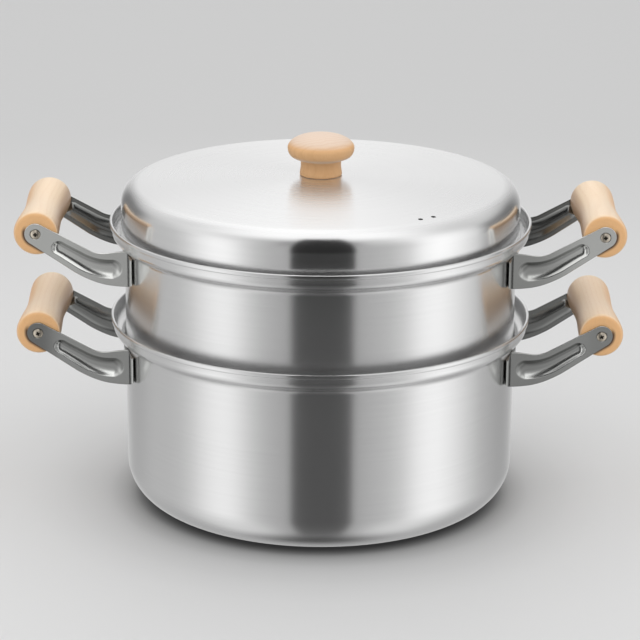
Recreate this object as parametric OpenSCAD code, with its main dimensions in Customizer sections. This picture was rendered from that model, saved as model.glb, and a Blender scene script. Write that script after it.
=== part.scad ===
// Two-tier steamer pot: a deep pot, a steamer tier with a perforated floor, and a domed lid.
// Every shell is drawn sheet. Each tier carries two stamped U brackets that hold a turned wooden grip.
// Frame: +X runs from handle to handle, +Y away from the viewer, +Z up, origin under the centre of the base.

/* [Shells] */
// Outer radius of the walls of both tiers
body_r = 121; // [112:1:128]
// Thickness of the drawn sheet
sheet_t = 0.8; // [0.6:0.1:1]
// Height of the pot from its base to its rim
pot_h = 118; // [100:1:140]
// Outer radius of the corner between the pot's wall and base
pot_corner_r = 24; // [12:1:30]
// Height from the pot's rim to the steamer tier's rim
tier_rise = 60; // [50:1:80]

/* [Rim] */
// How far the rim's wall stands out from the body
step_w = 7.8; // [6.5:0.1:8]
// Outer radius of the two bends that make the rim's step
step_bend_r = 4.8; // [4:0.1:4.8]
// Height of the rim's wall between the step and the lip
rim_wall_h = 3.1; // [2:0.1:6]
// Angle by which the rim's wall leans out
rim_lean = 8; // [2:1:12]
// Width of the rolled lip
lip_w = 1.9; // [1.7:0.1:2.4]
// Height of the rolled lip
lip_h = 2.9; // [2.6:0.1:4]

/* [Steamer floor] */
// Radial room between the steamer's spigot and the bore of the pot
spigot_gap = 1.2; // [0.8:0.1:2]
// Height of the spigot that drops into the pot
spigot_h = 18; // [14:1:30]
// Radius of the two bends above the spigot
spigot_bend_r = 2.5; // [2:0.1:3]
// Outer radius of the corner between the spigot and the floor
spigot_corner_r = 10; // [5:1:12]
// Diameter of one steam hole
steam_hole_d = 6; // [3:0.5:8]
// Distance from the outermost ring of steam holes to the edge of the flat floor
steam_margin = 7; // [5:0.5:20]
// Number of rings of steam holes
steam_rings = 6; // [1:1:6]

/* [Lid] */
// Distance of the lid's skirt inside the centre of the rim's outer bend
lid_inset = 1; // [0.8:0.1:3]
// Width of the flange that rests on the rim's step, beyond the skirt
lid_flange_w = 2.8; // [2.4:0.1:3.2]
// Radius of the bend between the skirt and the flange
lid_foot_r = 1.5; // [1:0.1:2]
// Height of the lid from its flange to its crown
lid_h = 36.1; // [30:0.1:50]
// Outer radius of the lid's shoulder
shoulder_r = 12; // [6:0.5:16]
// Slope of the crown where it meets the shoulder
crown_slope = 4.4; // [2:0.2:8]
// Radius of the flat land under the knob
land_r = 15; // [14.5:0.5:25]
// Diameter of one steam vent
vent_d = 3; // [2:0.1:5]
// Distance of the vents from the lid's skirt
vent_inset = 16; // [15:1:50]
// Distance from one vent to the other
vent_pitch = 9.5; // [7:0.5:20]
// Angle of the pair of vents, turned from the front towards the right
vent_turn = 35.5; // [0:0.5:60]

/* [Knob] */
// Height of the knob
knob_h = 25.6; // [22:0.1:35]
// Radius of the knob's cap at its widest
cap_r = 20.5; // [18:0.5:26]
// Height of the cap's widest line above the lid
cap_z = 17.2; // [15:0.1:18]
// Radius of the knob's neck
neck_r = 12.9; // [11:0.1:13]
// Radius of the knob's foot
foot_r = 12.3; // [12:0.1:14.5]
// Height over which the knob's foot runs into its neck
foot_rise_h = 5; // [1:0.1:5]
// Height of the top of the knob's neck
neck_h = 8.2; // [5.5:0.1:9]
// Radius of the hollow between the knob's neck and cap
neck_fillet_r = 3; // [2:0.1:4]
// Diameter of the knob's screw
knob_screw_d = 5; // [4:0.5:6]
// Length of the knob's screw below its head
knob_screw_l = 13; // [9:0.5:14]
// Diameter of the head of the knob's screw
knob_screw_head_d = 9.5; // [8:0.5:11]
// Height of the head of the knob's screw
knob_screw_head_h = 3.5; // [2.5:0.1:4.5]
// Outer diameter of the threaded insert in the knob
insert_d = 8.5; // [7.5:0.1:10]
// Length of the threaded insert in the knob
insert_l = 13; // [10:0.5:14]
// Diameter of the washer under the lid
washer_d = 18; // [12:0.5:26]
// Thickness of the washer under the lid
washer_t = 1.2; // [0.8:0.1:2]

/* [Brackets] */
// Thickness of the bracket's sheet
bracket_t = 1.5; // [1.2:0.1:2]
// Inner radius of the bends between the web and the arms
bend_r = 1.5; // [1.5:0.1:4]
// Depth of the lower edge of the steamer tier's bracket below the rim
bracket_drop = 32.5; // [31:0.5:36]
// How much lower below its rim the pot's pair of handles sits than the steamer tier's
pot_handle_drop = 2.4; // [0:0.1:5]
// Distance from the foot of the steamer tier's rim down to the top of its bracket's web
web_clearance = 0.8; // [0.5:0.1:5]
// Half of the arm's height at its root
arm_root_half = 11; // [9:0.1:11.5]
// Half of the arm's width where it has turned upwards
arm_mid_half = 8.2; // [7.6:0.1:9]
// Radius of the rounded tab that holds the grip
tab_r = 6.7; // [6:0.1:8]
// Angle at which the arm climbs
arm_rise = 31; // [24:1:36]
// Radius of the upward bend in the arm's centre line
arm_curve_r = 36; // [20:1:44]

/* [Bead] */
// Half of the bead's width at the arm's root
bead_root_half = 5.6; // [4:0.1:6.5]
// Half of the bead's width near the grip
bead_tip_half = 3.4; // [2.5:0.1:4.5]
// Depth to which the bead is pressed in at the arm's root
bead_root_depth = 2.2; // [1.2:0.1:2.8]
// Depth to which the bead is pressed in near the grip
bead_tip_depth = 1.2; // [0.8:0.1:1.2]
// Distance from the edge of the grip's flat end to the tip of the bead
bead_tip_gap = 1.1; // [1.1:0.1:4]
// Distance from the root's bend to the end of the bead
bead_root_in = 3; // [2:0.1:8]

/* [Grips] */
// Length of a grip
grip_l = 88; // [80:1:94]
// Distance of the grip's axis from the wall of the body
grip_reach = 50.5; // [45:0.5:59]
// Depth of the axis of the steamer tier's grip below the rim
grip_drop = 0; // [0:0.1:3]
// Radius of the grip at its ends
grip_end_r = 13.4; // [11.5:0.1:14]
// Radius of the grip at its waist
grip_waist_r = 11.9; // [9:0.1:12.4]
// Radius of the rounding at the grip's ends
grip_edge_r = 2.5; // [0.5:0.1:3]
// Outer diameter of the threaded sleeve inside the grip
sleeve_d = 7; // [6.2:0.1:9]
// Diameter of the grip's screws
screw_d = 4; // [3:0.5:4.5]
// Length of the grip's screws below their heads
screw_l = 16; // [10:1:30]
// Diameter of the grip's screw heads
head_d = 6; // [5.6:0.1:8]
// Height of the crown of the grip's screw heads
head_crown_h = 0.9; // [0.5:0.1:1.5]

/* [Hidden] */
$fn = 96;

steel = "#c4c8cb";
bracket_steel = "#a9adb0";
beech = "#e7c197";
brass = "#c8a85f";

// Steps along a bend of the sheet, and along a long curve
bend_steps = 10;
curve_steps = 16;
// How far a cut runs past the surface that it opens
overrun = 1;
// Gap that parts resting on each other keep
seat_gap = 0.3;
// Gap between a welded bracket and the body
weld_gap = 0.2;
// Gap all round a fastener in its hole, and round a head in its countersink
hole_gap = 0.1;
sink_gap = 0.3;

// Points of an arc in the plane of a profile
function arc(c, r, from, to, steps) =
    [for (i = [0:steps]) let (a = from + (to - from) * i / steps) [c[0] + r * cos(a), c[1] + r * sin(a)]];
function mix(a, b, share) = a + (b - a) * share;
// Smooth step from 0 to 1
function ease(share) = (1 - cos(180 * share)) / 2;

// Rim: lip, leaning wall, and a step made of two opposed bends
step_turn = acos(1 - step_w / (2 * step_bend_r));
step_fall = 2 * step_bend_r * sin(step_turn);
rim_h = lip_h + rim_wall_h + step_fall;
upper_bend_x = body_r + step_w - step_bend_r;
lower_bend_x = body_r + step_bend_r;
wall_foot_x = upper_bend_x + step_bend_r * cos(rim_lean);
wall_foot_rise = step_bend_r * sin(rim_lean);
wall_top_x = wall_foot_x + (rim_wall_h - wall_foot_rise) * tan(rim_lean);
lip_r = lip_w / 2;
lip_x = wall_top_x - sheet_t / cos(rim_lean) + lip_r;
lip_start = acos(min(1, (wall_top_x - lip_x) / lip_r));

// Outer surface of a rim from the body's wall up to the top of the lip
function rim_outside(top) = concat(
    arc([lower_bend_x, top - rim_h], step_bend_r, 180, 180 - step_turn, bend_steps),
    arc([upper_bend_x, top - lip_h - rim_wall_h], step_bend_r, -step_turn, rim_lean, bend_steps),
    arc([lip_x, top - lip_h + lip_r], lip_r, -lip_start, 0, bend_steps),
    arc([lip_x, top - lip_r], lip_r, 0, 180, bend_steps));

// Inner surface of a rim from the lip down to the body's wall
function rim_inside(top) = concat(
    arc([upper_bend_x, top - lip_h - rim_wall_h], step_bend_r - sheet_t, rim_lean, -step_turn, bend_steps),
    arc([lower_bend_x, top - rim_h], step_bend_r + sheet_t, 180 - step_turn, 180, bend_steps));

// Heights of the two tiers and of the seats between them
pot_rim_z = pot_h;
steamer_rim_z = pot_h + tier_rise;
// Level that each tier's handles are measured from
pot_handle_z = pot_rim_z - pot_handle_drop;
steamer_handle_z = steamer_rim_z;
spigot_r = body_r - sheet_t - spigot_gap;
seat_turn = acos(1 - (body_r - spigot_r) / (2 * spigot_bend_r));
seat_fall = 2 * spigot_bend_r * sin(seat_turn);
seat_reach = step_bend_r + sheet_t + spigot_bend_r + seat_gap;
seat_z = pot_rim_z - rim_h + sqrt(pow(seat_reach, 2) - pow(step_bend_r + spigot_bend_r, 2));
steamer_floor_z = seat_z - seat_fall - spigot_h;
steam_ring_pitch = (spigot_r - spigot_corner_r - steam_margin) / steam_rings;

// Lid
lid_r = upper_bend_x - lid_inset;
vent_circle_r = lid_r - vent_inset;
flange_r = lid_r + lid_flange_w;
lid_seat_z = steamer_rim_z - lip_h - rim_wall_h + seat_gap
    - sqrt(pow(step_bend_r - sheet_t, 2) - pow(max(0, flange_r - upper_bend_x), 2));
foot_bend_x = lid_r + lid_foot_r;
foot_bend_z = lid_seat_z + sheet_t + lid_foot_r;
crown_edge_r = lid_r - shoulder_r + shoulder_r * sin(crown_slope);
crown_r = crown_edge_r / sin(crown_slope);
lid_top_z = lid_seat_z + lid_h;
crown_centre_z = lid_top_z - sqrt(pow(crown_r, 2) - pow(land_r, 2));
shoulder_z = crown_centre_z + (crown_r - shoulder_r) * cos(crown_slope);
crown_land = asin(land_r / crown_r);

// Knob: where the hollow under the cap ends, and how full the cap's edge and crown are
neck_fillet_end = 115;
cap_edge_power = 0.85;
cap_crown_power = 1.05;

// Screw heads: fullness and edge of a pan head, and size of the driver's recess in a head
pan_power = 0.6;
pan_edge_share = 0.35;
recess_share = 0.5;
recess_blade_share = 0.2;
recess_depth_share = 0.7;

// Bracket, measured from the pot's axis and from the handle's level
grip_x = body_r + grip_reach;
grip_half = grip_l / 2;
arm_out_y = grip_half + bracket_t;
bend_out_r = bend_r + bracket_t;
web_in_r = body_r + weld_gap;
bend_y = arm_out_y - bend_out_r;
bend_x = sqrt(pow(web_in_r + bend_out_r, 2) - pow(bend_y, 2));
web_end_x = web_in_r * bend_x / (web_in_r + bend_out_r);
web_top_drop = rim_h + web_clearance;
arm_root_z = -bracket_drop + arm_root_half;
climb_x = grip_x + (arm_root_z + grip_drop) / tan(arm_rise);
curve_tangent = arm_curve_r * tan(arm_rise / 2);
curve_in_x = climb_x - curve_tangent;
curve_len = arm_curve_r * arm_rise * PI / 180;
climb_len = (grip_x - climb_x) / cos(arm_rise) - curve_tangent;
root_len = curve_in_x - bend_x;
arm_len = root_len + curve_len + climb_len;

// Heading and place of the arm's centre line at a distance from its root
function arm_heading(s) = min(max(s - root_len, 0), curve_len) / curve_len * arm_rise;
function arm_point(s) = let (a = arm_heading(s), past = max(s - root_len - curve_len, 0))
    [bend_x + min(s, root_len) + arm_curve_r * sin(a) + past * cos(arm_rise),
     arm_root_z + arm_curve_r * (1 - cos(a)) + past * sin(arm_rise)];
// Half of the arm's width at a distance from its root
function arm_half(s) = s < root_len + curve_len
    ? mix(arm_root_half, arm_mid_half, ease(s / (root_len + curve_len)))
    : mix(arm_mid_half, tab_r, (s - root_len - curve_len) / climb_len);
function arm_edge(s, side) = let (p = arm_point(s), a = arm_heading(s), h = arm_half(s) * side)
    [p[0] - h * sin(a), p[1] + h * cos(a)];

// Bead: its width and depth fade to nothing at both ends
bead_from = bead_root_in;
bead_to = arm_len - (grip_end_r - grip_edge_r) - bead_tip_gap;
bead_len = bead_to - bead_from;
bead_steps = 18;
bead_across = 10;
// Share of the sheet's thickness by which the ridge is wider than the hollow, on each side
bead_side_share = 0.7;
// Share of the bead's length over which it narrows, and share of its width that it keeps at its ends
bead_taper_share = 0.83;
bead_end_share = 0.08;
// Stations lie closer together near the ends
function bead_station(i) = ease(i / bead_steps);
function bead_body_half(share) = mix(bead_root_half, bead_tip_half, min(1, share / bead_taper_share));
function bead_body_depth(share) = mix(bead_root_depth, bead_tip_depth, share);
// Share of the full width that a station keeps inside the rounded ends
function bead_round(share) = let (d = min(share * bead_len / bead_root_half, (1 - share) * bead_len / bead_tip_half))
    d >= 1 ? 1 : max(bead_end_share, sqrt(1 - pow(1 - d, 2)));

// Half-width at the base of an arched section that has half-width w at level
function arch_half(w, level, base, peak) = w / sqrt(1 - (level - base) / (peak - base));

// One arched cross-section of the bead, measured inwards from the arm's outer face.
// Its half-width at level is the bead's own plus side, its edges lie at base, and its crown is lower by grow.
function bead_ring(share, side, level, base, grow) =
    let (s = bead_from + share * bead_len, p = arm_point(s), a = arm_heading(s), fade = bead_round(share),
         peak = bead_body_depth(share) * fade + grow,
         w = arch_half(bead_body_half(share) * fade + side, level, base, peak))
    [for (j = [0:bead_across]) let (v = 2 * j / bead_across - 1)
        [p[0] - v * w * sin(a), base + (peak - base) * (1 - v * v), p[1] + v * w * cos(a)]];

// Skin of the bead over all its stations, with flat ends
module bead_solid(side, level, base, grow) {
    rings = [for (i = [0:bead_steps]) bead_ring(bead_station(i), side, level, base, grow)];
    n = len(rings[0]);
    faces = concat(
        [for (i = [0:bead_steps - 1]) for (j = [0:n - 1]) let (k = (j + 1) % n)
            [i * n + j, (i + 1) * n + j, (i + 1) * n + k]],
        [for (i = [0:bead_steps - 1]) for (j = [0:n - 1]) let (k = (j + 1) % n)
            [i * n + j, (i + 1) * n + k, i * n + k]],
        [[for (j = [0:n - 1]) j]],
        [[for (j = [0:n - 1]) bead_steps * n + n - 1 - j]]);
    polyhedron(points = [for (r = rings) for (q = r) q], faces = faces, convexity = 4);
}

// Hollow that the bead leaves in the arm's outer face
module bead_hollow() {
    bead_solid(0, 0, -overrun, 0);
}

// Ridge that the bead raises on the arm's inner face
module bead_ridge() {
    bead_solid(bracket_t * bead_side_share, bracket_t, bracket_t / 2, bracket_t);
}

module pot_shell() {
    color(steel) rotate_extrude() polygon(concat(
        [[0, 0]],
        arc([body_r - pot_corner_r, pot_corner_r], pot_corner_r, -90, 0, curve_steps),
        rim_outside(pot_rim_z),
        rim_inside(pot_rim_z),
        arc([body_r - pot_corner_r, pot_corner_r], pot_corner_r - sheet_t, 0, -90, curve_steps),
        [[0, sheet_t]]));
}

module steamer_shell() {
    corner = [spigot_r - spigot_corner_r, steamer_floor_z + spigot_corner_r];
    shoulder = [body_r - spigot_bend_r, seat_z];
    neck = [spigot_r + spigot_bend_r, seat_z - seat_fall];
    color(steel) difference() {
        rotate_extrude() polygon(concat(
            [[0, steamer_floor_z]],
            arc(corner, spigot_corner_r, -90, 0, curve_steps),
            arc(neck, spigot_bend_r, 180, 180 - seat_turn, bend_steps),
            arc(shoulder, spigot_bend_r, -seat_turn, 0, bend_steps),
            rim_outside(steamer_rim_z),
            rim_inside(steamer_rim_z),
            arc(shoulder, spigot_bend_r - sheet_t, 0, -seat_turn, bend_steps),
            arc(neck, spigot_bend_r + sheet_t, 180 - seat_turn, 180, bend_steps),
            arc(corner, spigot_corner_r - sheet_t, 0, -90, curve_steps),
            [[0, steamer_floor_z + sheet_t]]));
        steam_hole(0, 0);
        for (ring = [1:steam_rings])
            for (i = [0:6 * ring - 1])
                steam_hole(ring * steam_ring_pitch, i * 60 / ring);
    }
}

module steam_hole(r, a) {
    rotate([0, 0, a])
        translate([r, 0, steamer_floor_z - overrun])
            cylinder(h = sheet_t + 2 * overrun, d = steam_hole_d, $fn = 32);
}

module lid_shell() {
    foot = [foot_bend_x, foot_bend_z];
    shoulder = [lid_r - shoulder_r, shoulder_z];
    crown = [0, crown_centre_z];
    edge = 90 - crown_slope;
    color(steel) difference() {
        rotate_extrude() polygon(concat(
            [[0, lid_top_z - sheet_t]],
            arc(crown, crown_r - sheet_t, 90 - crown_land, edge, curve_steps),
            arc(shoulder, shoulder_r - sheet_t, edge, 0, curve_steps),
            arc(foot, lid_foot_r + sheet_t, 180, 270, bend_steps),
            arc([flange_r - sheet_t / 2, lid_seat_z + sheet_t / 2], sheet_t / 2, -90, 90, bend_steps),
            arc(foot, lid_foot_r, 270, 180, bend_steps),
            arc(shoulder, shoulder_r, 0, edge, curve_steps),
            arc(crown, crown_r, edge, 90 - crown_land, curve_steps),
            [[0, lid_top_z]]));
        translate([0, 0, lid_top_z - sheet_t - overrun])
            cylinder(h = sheet_t + 2 * overrun, d = knob_screw_d + 2 * hole_gap);
        for (side = [-1, 1])
            rotate([0, 0, vent_turn - 90 + side * asin(vent_pitch / 2 / vent_circle_r)])
                translate([vent_circle_r, 0, shoulder_z])
                    cylinder(h = lid_top_z - shoulder_z + overrun, d = vent_d, $fn = 32);
    }
}

module knob() {
    dome_h = knob_h - cap_z;
    under = [neck_r + neck_fillet_r, neck_h];
    under_z = neck_h + neck_fillet_r;
    color(beech) translate([0, 0, lid_top_z]) difference() {
        rotate_extrude() polygon(concat(
            [[0, 0], [foot_r, 0]],
            [for (i = [1:bend_steps]) let (u = i / bend_steps)
                [mix(foot_r, neck_r, ease(u)), foot_rise_h * u]],
            arc(under, neck_fillet_r, 180, neck_fillet_end, bend_steps),
            [for (i = [1:curve_steps]) let (a = -90 + 90 * i / curve_steps)
                [mix(under[0], cap_r, cos(a)), cap_z + (cap_z - under_z) * sin(a)]],
            [for (i = [1:curve_steps]) let (a = 90 * i / curve_steps)
                [cap_r * pow(cos(a), cap_edge_power), cap_z + dome_h * pow(sin(a), cap_crown_power)]]));
        translate([0, 0, -overrun])
            cylinder(h = insert_l + hole_gap + overrun, d = insert_d + 2 * hole_gap);
    }
}

module knob_insert() {
    color(brass) translate([0, 0, lid_top_z]) difference() {
        cylinder(h = insert_l, d = insert_d);
        translate([0, 0, -overrun])
            cylinder(h = insert_l + 2 * overrun, d = knob_screw_d + hole_gap);
    }
}

module knob_washer() {
    color(steel) translate([0, 0, lid_top_z - sheet_t - washer_t]) difference() {
        cylinder(h = washer_t, d = washer_d);
        translate([0, 0, -overrun])
            cylinder(h = washer_t + 2 * overrun, d = knob_screw_d + 2 * hole_gap);
    }
}

// Pan-head screw that enters the insert from below
module knob_screw() {
    color(steel) translate([0, 0, lid_top_z - sheet_t - washer_t]) difference() {
        union() {
            cylinder(h = knob_screw_l, d = knob_screw_d);
            rotate([180, 0, 0]) pan_head(knob_screw_head_d, knob_screw_head_h);
        }
        rotate([180, 0, 0]) translate([0, 0, knob_screw_head_h])
            cross_recess(knob_screw_head_d * recess_share, knob_screw_head_h * recess_depth_share);
    }
}

// Cheese-shaped head with a rounded crown, standing on z = 0
module pan_head(d, h) {
    rotate_extrude() polygon(concat(
        [[0, 0], [d / 2, 0]],
        [for (i = [0:bend_steps]) let (a = 90 * i / bend_steps)
            [d / 2 * pow(cos(a), pan_power), h * mix(pan_edge_share, 1, sin(a))]]));
}

// Cross-shaped driver recess, sunk from z = 0 downwards
module cross_recess(w, depth) {
    blade = w * recess_blade_share;
    for (turn = [0, 90])
        rotate([0, 0, turn])
            translate([-w / 2, -blade / 2, -depth])
                cube([w, blade, depth + overrun]);
}

// Plan of the bracket's web, which follows the body
module web_plan() {
    intersection() {
        difference() {
            circle(r = web_in_r + bracket_t, $fn = 360);
            circle(r = web_in_r, $fn = 360);
        }
        polygon([[0, 0], [2 * bend_x, -2 * bend_y], [2 * bend_x, 2 * bend_y]]);
    }
}

// Plan of the bracket's two bends and two arms
module arms_plan() {
    for (side = [-1, 1])
        to_side(side) {
            intersection() {
                translate([bend_x, bend_y]) difference() {
                    circle(r = bend_out_r);
                    circle(r = bend_r);
                }
                polygon([[bend_x, bend_y], [0, 0], [0, 2 * bend_y], [bend_x, 2 * bend_y]]);
            }
            translate([bend_x, grip_half]) square([grip_x - bend_x + 2 * tab_r, bracket_t]);
        }
}

// Mirrors its children to the front where side is -1
module to_side(side) {
    mirror([0, side < 0 ? 1 : 0, 0]) children();
}

// Side view of a bend and its arm, in X and Z, with Z measured from the handle's level
module arm_side() {
    stations = [for (i = [0:curve_steps * 2]) arm_len * i / (curve_steps * 2)];
    polygon(concat(
        [[web_end_x - overrun, -bracket_drop]],
        [for (s = stations) arm_edge(s, -1)],
        [for (i = [1:curve_steps - 1]) let (a = arm_rise - 90 + 180 * i / curve_steps)
            [grip_x + tab_r * cos(a), -grip_drop + tab_r * sin(a)]],
        [for (i = [len(stations) - 1:-1:0]) arm_edge(stations[i], 1)],
        [[bend_x - bend_r, -web_top_drop], [web_end_x - overrun, -web_top_drop]]));
}

// Stamped U bracket on the right side, with pressed beads and countersunk tabs
module bracket(level_z) {
    sink_h = (head_d - screw_d) / 2;
    color(bracket_steel) translate([0, 0, level_z]) difference() {
        union() {
            translate([0, 0, -bracket_drop])
                linear_extrude(bracket_drop - web_top_drop) web_plan();
            intersection() {
                translate([0, 0, -bracket_drop])
                    linear_extrude(bracket_drop + tab_r) arms_plan();
                translate([0, arm_out_y + overrun, 0])
                    rotate([90, 0, 0]) linear_extrude(2 * (arm_out_y + overrun)) arm_side();
            }
            for (side = [-1, 1])
                to_side(side) translate([0, arm_out_y, 0]) mirror([0, 1, 0]) bead_ridge();
        }
        for (side = [-1, 1])
            to_side(side) {
                translate([0, arm_out_y, 0]) mirror([0, 1, 0]) bead_hollow();
                translate([grip_x, arm_out_y, -grip_drop]) rotate([90, 0, 0]) {
                    translate([0, 0, -overrun])
                        cylinder(h = bracket_t + 2 * overrun, d = screw_d + 2 * hole_gap);
                    cylinder(h = sink_h, d1 = head_d + 2 * sink_gap, d2 = screw_d + 2 * hole_gap);
                }
            }
    }
}

// Turned spool with rounded ends, along Y
module grip(level_z) {
    edge_y = grip_half - grip_edge_r;
    color(beech) translate([grip_x, 0, level_z - grip_drop]) rotate([90, 0, 0]) difference() {
        rotate_extrude() polygon(concat(
            [[0, -grip_half]],
            arc([grip_end_r - grip_edge_r, -edge_y], grip_edge_r, -90, 0, bend_steps),
            [for (i = [1:2 * curve_steps - 1]) let (v = i / curve_steps - 1)
                [mix(grip_waist_r, grip_end_r, ease(abs(v))), edge_y * v]],
            arc([grip_end_r - grip_edge_r, edge_y], grip_edge_r, 0, 90, bend_steps),
            [[0, grip_half]]));
        translate([0, 0, -grip_half - overrun])
            cylinder(h = grip_l + 2 * overrun, d = sleeve_d + 2 * hole_gap);
    }
}

// Threaded sleeve that runs through the grip
module sleeve(level_z) {
    color(steel) translate([grip_x, grip_half, level_z - grip_drop]) rotate([90, 0, 0]) difference() {
        cylinder(h = grip_l, d = sleeve_d);
        translate([0, 0, -overrun]) cylinder(h = grip_l + 2 * overrun, d = screw_d + hole_gap);
    }
}

// Raised countersunk screw at the rear end of the right grip
module screw(level_z) {
    sink_h = (head_d - screw_d) / 2;
    ball_r = (pow(head_d / 2, 2) + pow(head_crown_h, 2)) / (2 * head_crown_h);
    color(steel) translate([grip_x, arm_out_y, level_z - grip_drop]) rotate([-90, 0, 0]) difference() {
        union() {
            translate([0, 0, -screw_l]) cylinder(h = screw_l, d = screw_d);
            translate([0, 0, -sink_h]) cylinder(h = sink_h, d1 = screw_d, d2 = head_d);
            intersection() {
                translate([0, 0, head_crown_h - ball_r]) sphere(r = ball_r);
                cylinder(h = head_crown_h, d = head_d);
            }
        }
        translate([0, 0, head_crown_h])
            cross_recess(head_d * recess_share, sink_h * recess_depth_share + head_crown_h);
    }
}

module on_left() {
    mirror([1, 0, 0]) children();
}

module at_front() {
    mirror([0, 1, 0]) children();
}

module pot_bracket_left() { on_left() bracket(pot_handle_z); }
module pot_bracket_right() { bracket(pot_handle_z); }
module pot_grip_left() { on_left() grip(pot_handle_z); }
module pot_grip_right() { grip(pot_handle_z); }
module pot_sleeve_left() { on_left() sleeve(pot_handle_z); }
module pot_sleeve_right() { sleeve(pot_handle_z); }
module pot_screw_left_front() { on_left() at_front() screw(pot_handle_z); }
module pot_screw_left_rear() { on_left() screw(pot_handle_z); }
module pot_screw_right_front() { at_front() screw(pot_handle_z); }
module pot_screw_right_rear() { screw(pot_handle_z); }
module steamer_bracket_left() { on_left() bracket(steamer_handle_z); }
module steamer_bracket_right() { bracket(steamer_handle_z); }
module steamer_grip_left() { on_left() grip(steamer_handle_z); }
module steamer_grip_right() { grip(steamer_handle_z); }
module steamer_sleeve_left() { on_left() sleeve(steamer_handle_z); }
module steamer_sleeve_right() { sleeve(steamer_handle_z); }
module steamer_screw_left_front() { on_left() at_front() screw(steamer_handle_z); }
module steamer_screw_left_rear() { on_left() screw(steamer_handle_z); }
module steamer_screw_right_front() { at_front() screw(steamer_handle_z); }
module steamer_screw_right_rear() { screw(steamer_handle_z); }

pot_shell();
pot_bracket_left();
pot_bracket_right();
pot_grip_left();
pot_grip_right();
pot_sleeve_left();
pot_sleeve_right();
pot_screw_left_front();
pot_screw_left_rear();
pot_screw_right_front();
pot_screw_right_rear();
steamer_shell();
steamer_bracket_left();
steamer_bracket_right();
steamer_grip_left();
steamer_grip_right();
steamer_sleeve_left();
steamer_sleeve_right();
steamer_screw_left_front();
steamer_screw_left_rear();
steamer_screw_right_front();
steamer_screw_right_rear();
lid_shell();
knob();
knob_insert();
knob_washer();
knob_screw();
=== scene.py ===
from math import acos, asin, cos, degrees, hypot, pi, radians, sin, sqrt, tan

import bmesh
import bpy
import numpy as np
from mathutils import Matrix, Vector


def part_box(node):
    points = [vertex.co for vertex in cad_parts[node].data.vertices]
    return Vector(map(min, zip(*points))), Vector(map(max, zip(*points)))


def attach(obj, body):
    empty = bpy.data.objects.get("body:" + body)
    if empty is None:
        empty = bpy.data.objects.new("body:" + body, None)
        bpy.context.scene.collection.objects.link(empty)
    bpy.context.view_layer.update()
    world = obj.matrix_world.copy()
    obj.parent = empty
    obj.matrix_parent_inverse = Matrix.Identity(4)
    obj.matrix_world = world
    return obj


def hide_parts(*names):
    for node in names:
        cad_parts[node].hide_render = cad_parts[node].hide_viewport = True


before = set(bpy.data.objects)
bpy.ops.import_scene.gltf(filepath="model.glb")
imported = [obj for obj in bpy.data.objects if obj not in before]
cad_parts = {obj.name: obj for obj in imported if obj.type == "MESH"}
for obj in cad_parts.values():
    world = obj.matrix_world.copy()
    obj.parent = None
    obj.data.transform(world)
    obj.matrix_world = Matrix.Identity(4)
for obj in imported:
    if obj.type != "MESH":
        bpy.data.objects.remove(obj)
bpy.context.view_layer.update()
scene = bpy.context.scene
scene.view_settings.view_transform = "Standard"
perMetre = 1000.0  # lengths below are in millimetres, meshes are in metres


# sockets and nodes as Python expressions

class Wire:
    # One output socket. An operator on it adds a Math node to its tree.
    def __init__(self, graph, socket):
        self.graph = graph
        self.socket = socket

    def __add__(self, other):
        return self.graph.calc("ADD", self, other)

    def __radd__(self, other):
        return self.graph.calc("ADD", other, self)

    def __sub__(self, other):
        return self.graph.calc("SUBTRACT", self, other)

    def __rsub__(self, other):
        return self.graph.calc("SUBTRACT", other, self)

    def __mul__(self, other):
        return self.graph.calc("MULTIPLY", self, other)

    def __rmul__(self, other):
        return self.graph.calc("MULTIPLY", other, self)

    def __truediv__(self, other):
        return self.graph.calc("DIVIDE", self, other)

    def __rtruediv__(self, other):
        return self.graph.calc("DIVIDE", other, self)

    def __neg__(self):
        return self.graph.calc("MULTIPLY", self, -1.0)


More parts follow.
